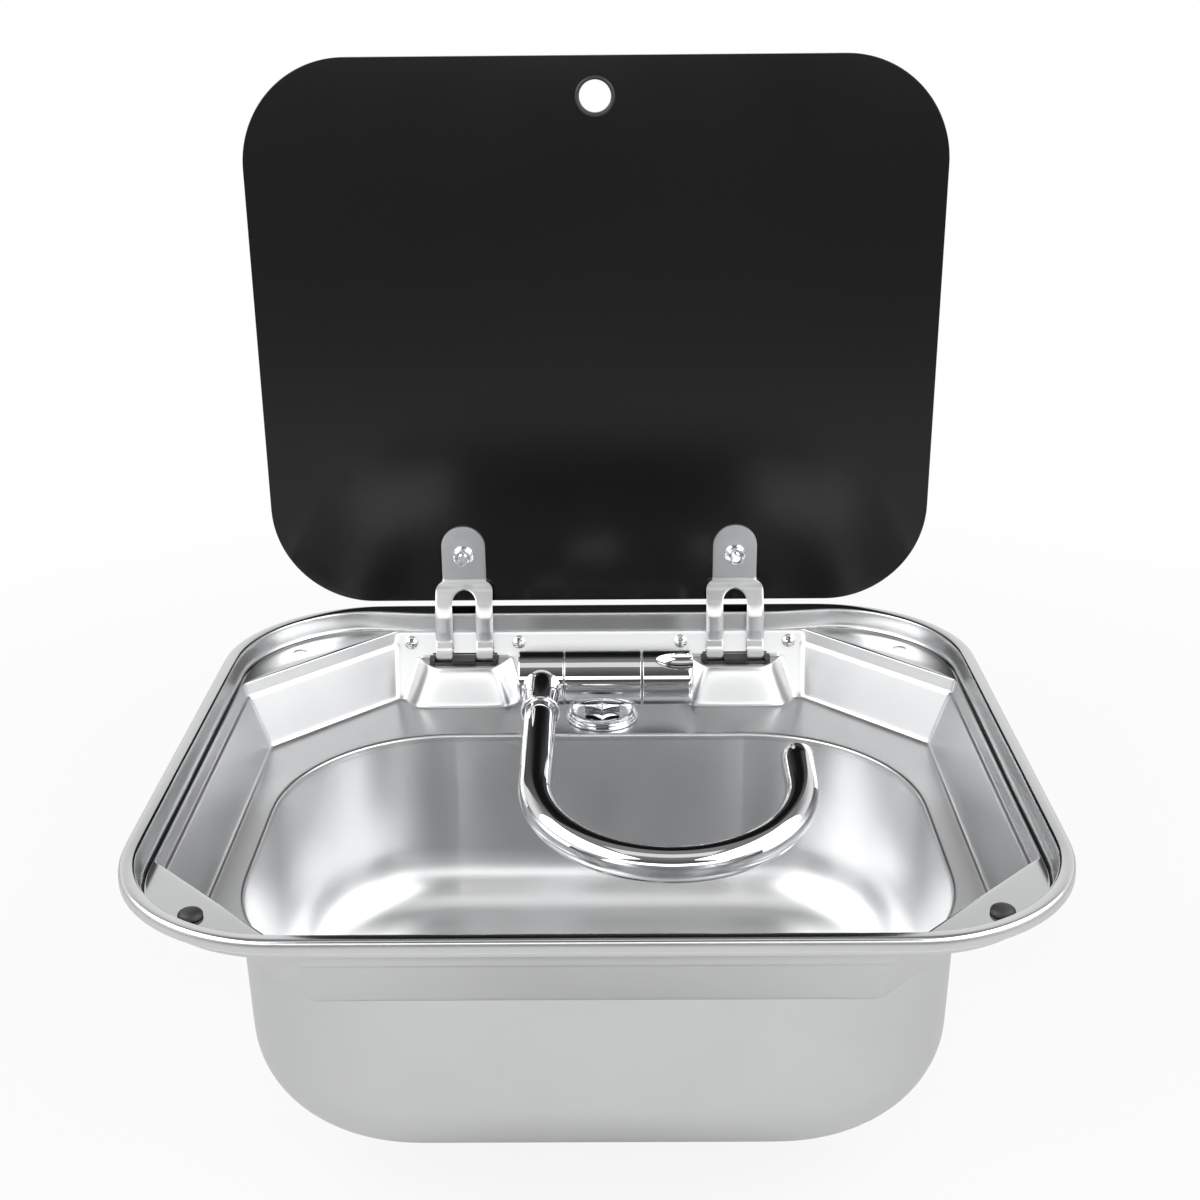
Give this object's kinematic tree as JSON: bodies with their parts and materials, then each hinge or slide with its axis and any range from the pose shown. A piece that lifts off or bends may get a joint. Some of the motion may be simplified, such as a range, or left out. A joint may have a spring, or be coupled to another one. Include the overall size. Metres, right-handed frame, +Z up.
{
  "type": "drop-in sink",
  "caption": "Rectangular drop-in sink of pressed stainless steel with a stepped tray, a deep bowl, a fold-down tap and a hinged black glass lid.",
  "frame": {"origin": "centre of the rim on the worktop plane", "axes": "+Z up, +Y to the back where the lid hinges are, +X to the right seen from the front"},
  "size_m": [0.42, 0.3789, 0.51],
  "materials": {
    "satin_steel": "satin pressed stainless",
    "chrome": "polished chrome plate",
    "fastener_steel": "zinc plated",
    "brass": "turned brass",
    "black_glass": "gloss, back painted black",
    "black_rubber": "matt",
    "black_plastic": "satin moulded",
    "rim_seal": "pale strip seal",
    "white_plastic": "moulded"
  },
  "bodies": {
    "sink": {"tray": "satin_steel", "bowl": "satin_steel", "rim_seal": "rim_seal", "waste_flange": "satin_steel", "waste_strainer": "satin_steel", "bumper_left": "black_rubber", "bumper_right": "black_rubber", "tap_gasket": "black_rubber", "waste_seal": "black_rubber", "hinge_block_left": "black_plastic", "hinge_block_right": "black_plastic", "hinge_pin_left": "fastener_steel", "hinge_pin_right": "fastener_steel", "hinge_bracket_left": "fastener_steel", "hinge_bracket_right": "fastener_steel", "tap_washer": "fastener_steel", "tap_base_ring": "chrome", "tap_body": "chrome", "tap_lock_nut": "brass", "tap_cartridge": "brass", "waste_lock_nut": "white_plastic", "hinge_screw_left_inner": "chrome", "hinge_nut_left_inner": "fastener_steel", "hinge_screw_left_outer": "chrome", "hinge_nut_left_outer": "fastener_steel", "hinge_screw_right_inner": "chrome", "hinge_nut_right_inner": "fastener_steel", "hinge_screw_right_outer": "chrome", "hinge_nut_right_outer": "fastener_steel"},
    "lid": {"lid_glass": "black_glass", "lid_grommet": "black_rubber", "hinge_leaf_left": "satin_steel", "lid_bolt_left": "chrome", "lid_washer_left": "black_rubber", "lid_nut_left": "chrome", "hinge_leaf_right": "satin_steel", "lid_bolt_right": "chrome", "lid_washer_right": "black_rubber", "lid_nut_right": "chrome"},
    "tap_arm": {"tap_knuckle": "chrome"},
    "tap_spout": {"spout": "chrome"},
    "tap_handle": {"tap_knob": "chrome", "tap_valve_stem": "brass"},
    "plug": {"waste_plug": "black_rubber"}
  },
  "joints": [
    {"name": "lid_hinge", "type": "hinge", "parent": "sink", "child": "lid", "pos_m": [0, 0.1672, -0.0204], "axis": [1, 0, 0], "range_deg": [0, 90]},
    {"name": "tap_fold", "type": "hinge", "parent": "sink", "child": "tap_arm", "pos_m": [-0.033, 0.1323, -0.0191], "axis": [1, 0, 0], "range_deg": [-96.5, 0]},
    {"name": "spout_swivel", "type": "hinge", "parent": "tap_arm", "child": "tap_spout", "pos_m": [-0.033, 0.1323, -0.0191], "axis": [0, -0.9936, -0.1132], "range_deg": [-40, 0]},
    {"name": "knob_turn", "type": "hinge", "parent": "sink", "child": "tap_handle", "pos_m": [0.04, 0.1323, -0.0191], "axis": [1, 0, 0], "range_deg": [0, 90]},
    {"name": "plug_lift", "type": "slide", "parent": "sink", "child": "plug", "axis": [0, 0, 1], "range_m": [0, 0.05]}
  ]
}
